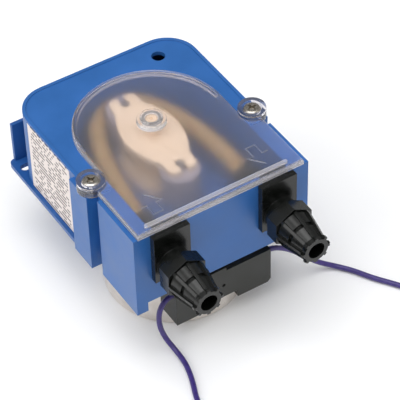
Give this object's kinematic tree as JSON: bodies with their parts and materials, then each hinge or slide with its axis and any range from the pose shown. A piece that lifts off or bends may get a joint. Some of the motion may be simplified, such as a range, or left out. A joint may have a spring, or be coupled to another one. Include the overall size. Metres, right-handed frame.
{
  "type": "peristaltic pump",
  "caption": "Roller tube dosing pump: geared motor, spinning roller carrier squeezing a rubber tube under a clear cover, threaded hose fittings and flying leads.",
  "frame": {"origin": "on the rotor's axis, in the plane of the motor's flat back, which the pump rests on", "axes": "+Z along the rotor's axis from the motor's back to the clear cover; -Y toward the hose fittings; +X to the right seen from the cover"},
  "size_m": [0.197, 0.1872, 0.0928],
  "materials": {
    "blue_abs": "moulded semi-gloss",
    "clear_polycarbonate": "clear moulded, matt inside",
    "plated_steel": "zinc plated",
    "acetal": "satin",
    "bronze": "sintered",
    "ground_steel": "ground",
    "cream_nylon": "satin moulded",
    "grey_acetal": "satin",
    "pump_tube_rubber": "matt extruded",
    "black_polypropylene": "satin moulded",
    "printed_label": "matt paper film",
    "circuit_board": "lacquered",
    "trimmer_body": "moulded",
    "trimmer_red": "moulded",
    "zinc_sheet": "zinc plated sheet",
    "copper_winding": "enamelled wire",
    "ferrite": "sintered",
    "brass": "turned",
    "gear_nylon": "moulded",
    "black_nylon": "moulded, glass filled",
    "violet_pvc": "extruded PVC",
    "clear_nylon_sleeve": "moulded sleeve"
  },
  "bodies": {
    "pump_body": {"pump_housing": "blue_abs", "wall_bracket": "blue_abs", "front_cover": "clear_polycarbonate", "cover_screws": "plated_steel", "bracket_screws": "plated_steel", "motor_screws": "plated_steel", "front_bush": "acetal", "chamber_bush": "bronze", "gearbox_bush": "bronze", "rotor_bush": "bronze", "idler_pin": "ground_steel", "pump_tube": "pump_tube_rubber", "hose_fitting_left": "black_polypropylene", "hose_fitting_right": "black_polypropylene", "side_label": "printed_label", "speed_board": "circuit_board", "trimmer_body": "trimmer_body", "motor_can": "zinc_sheet", "motor_plate": "zinc_sheet", "gear_plate": "zinc_sheet", "pole_ring": "zinc_sheet", "stator_coil": "copper_winding", "terminal_box": "black_nylon", "terminal_cover": "black_nylon", "lead_terminals": "brass", "lead_left": "violet_pvc", "lead_left_coil": "violet_pvc", "lead_left_tail": "violet_pvc", "lead_left_connector": "clear_nylon_sleeve", "lead_right": "violet_pvc", "lead_right_coil": "violet_pvc", "lead_right_tail": "violet_pvc", "lead_right_connector": "clear_nylon_sleeve"},
    "rotor": {"drive_shaft": "cream_nylon", "roller_carrier_base": "cream_nylon", "roller_carrier_top": "cream_nylon", "roller_pins": "ground_steel", "output_gear": "gear_nylon"},
    "roller_far": {"roller_far": "grey_acetal"},
    "roller_near": {"roller_near": "grey_acetal"},
    "idler": {"idler_gear": "gear_nylon"},
    "motor_rotor": {"motor_shaft": "ground_steel", "rotor_magnet": "ferrite", "motor_pinion": "brass"},
    "nut_left": {"compression_nut_left": "black_polypropylene"},
    "nut_right": {"compression_nut_right": "black_polypropylene"},
    "trimmer": {"trimmer_rotor": "trimmer_red"}
  },
  "joints": [
    {"name": "rotor_spin", "type": "hinge", "parent": "pump_body", "child": "rotor", "pos_m": [0, 0, 0.068], "axis": [0, 0, 1], "continuous": true, "deforming": ["pump_tube"]},
    {"name": "roller_far_spin", "type": "hinge", "parent": "rotor", "child": "roller_far", "pos_m": [0, 0.025, 0.0684], "axis": [0, 0, 1], "continuous": true},
    {"name": "roller_near_spin", "type": "hinge", "parent": "rotor", "child": "roller_near", "pos_m": [0, -0.025, 0.0684], "axis": [0, 0, 1], "continuous": true},
    {"name": "idler_spin", "type": "hinge", "parent": "pump_body", "child": "idler", "pos_m": [0.01561, -0.0125, 0.03], "axis": [0, 0, 1], "continuous": true},
    {"name": "motor_spin", "type": "hinge", "parent": "pump_body", "child": "motor_rotor", "pos_m": [0, -0.016, 0.012], "axis": [0, 0, 1], "continuous": true},
    {"name": "nut_left_turn", "type": "hinge", "parent": "pump_body", "child": "nut_left", "pos_m": [-0.0295, -0.087, 0.0664], "axis": [0, -1, 0], "range_deg": [0, 540]},
    {"name": "nut_right_turn", "type": "hinge", "parent": "pump_body", "child": "nut_right", "pos_m": [0.0295, -0.087, 0.0664], "axis": [0, -1, 0], "range_deg": [0, 540]},
    {"name": "trimmer_turn", "type": "hinge", "parent": "pump_body", "child": "trimmer", "pos_m": [0.0296, 0.0421, 0.078], "axis": [0, 0, 1], "range_deg": [-135, 135]}
  ],
  "couplings": [
    {"joint": "roller_far_spin", "follows": "rotor_spin", "ratio": -3.551},
    {"joint": "roller_near_spin", "follows": "rotor_spin", "ratio": -3.551},
    {"joint": "idler_spin", "follows": "rotor_spin", "ratio": -3.1667},
    {"joint": "motor_spin", "follows": "rotor_spin", "ratio": 13.722}
  ]
}
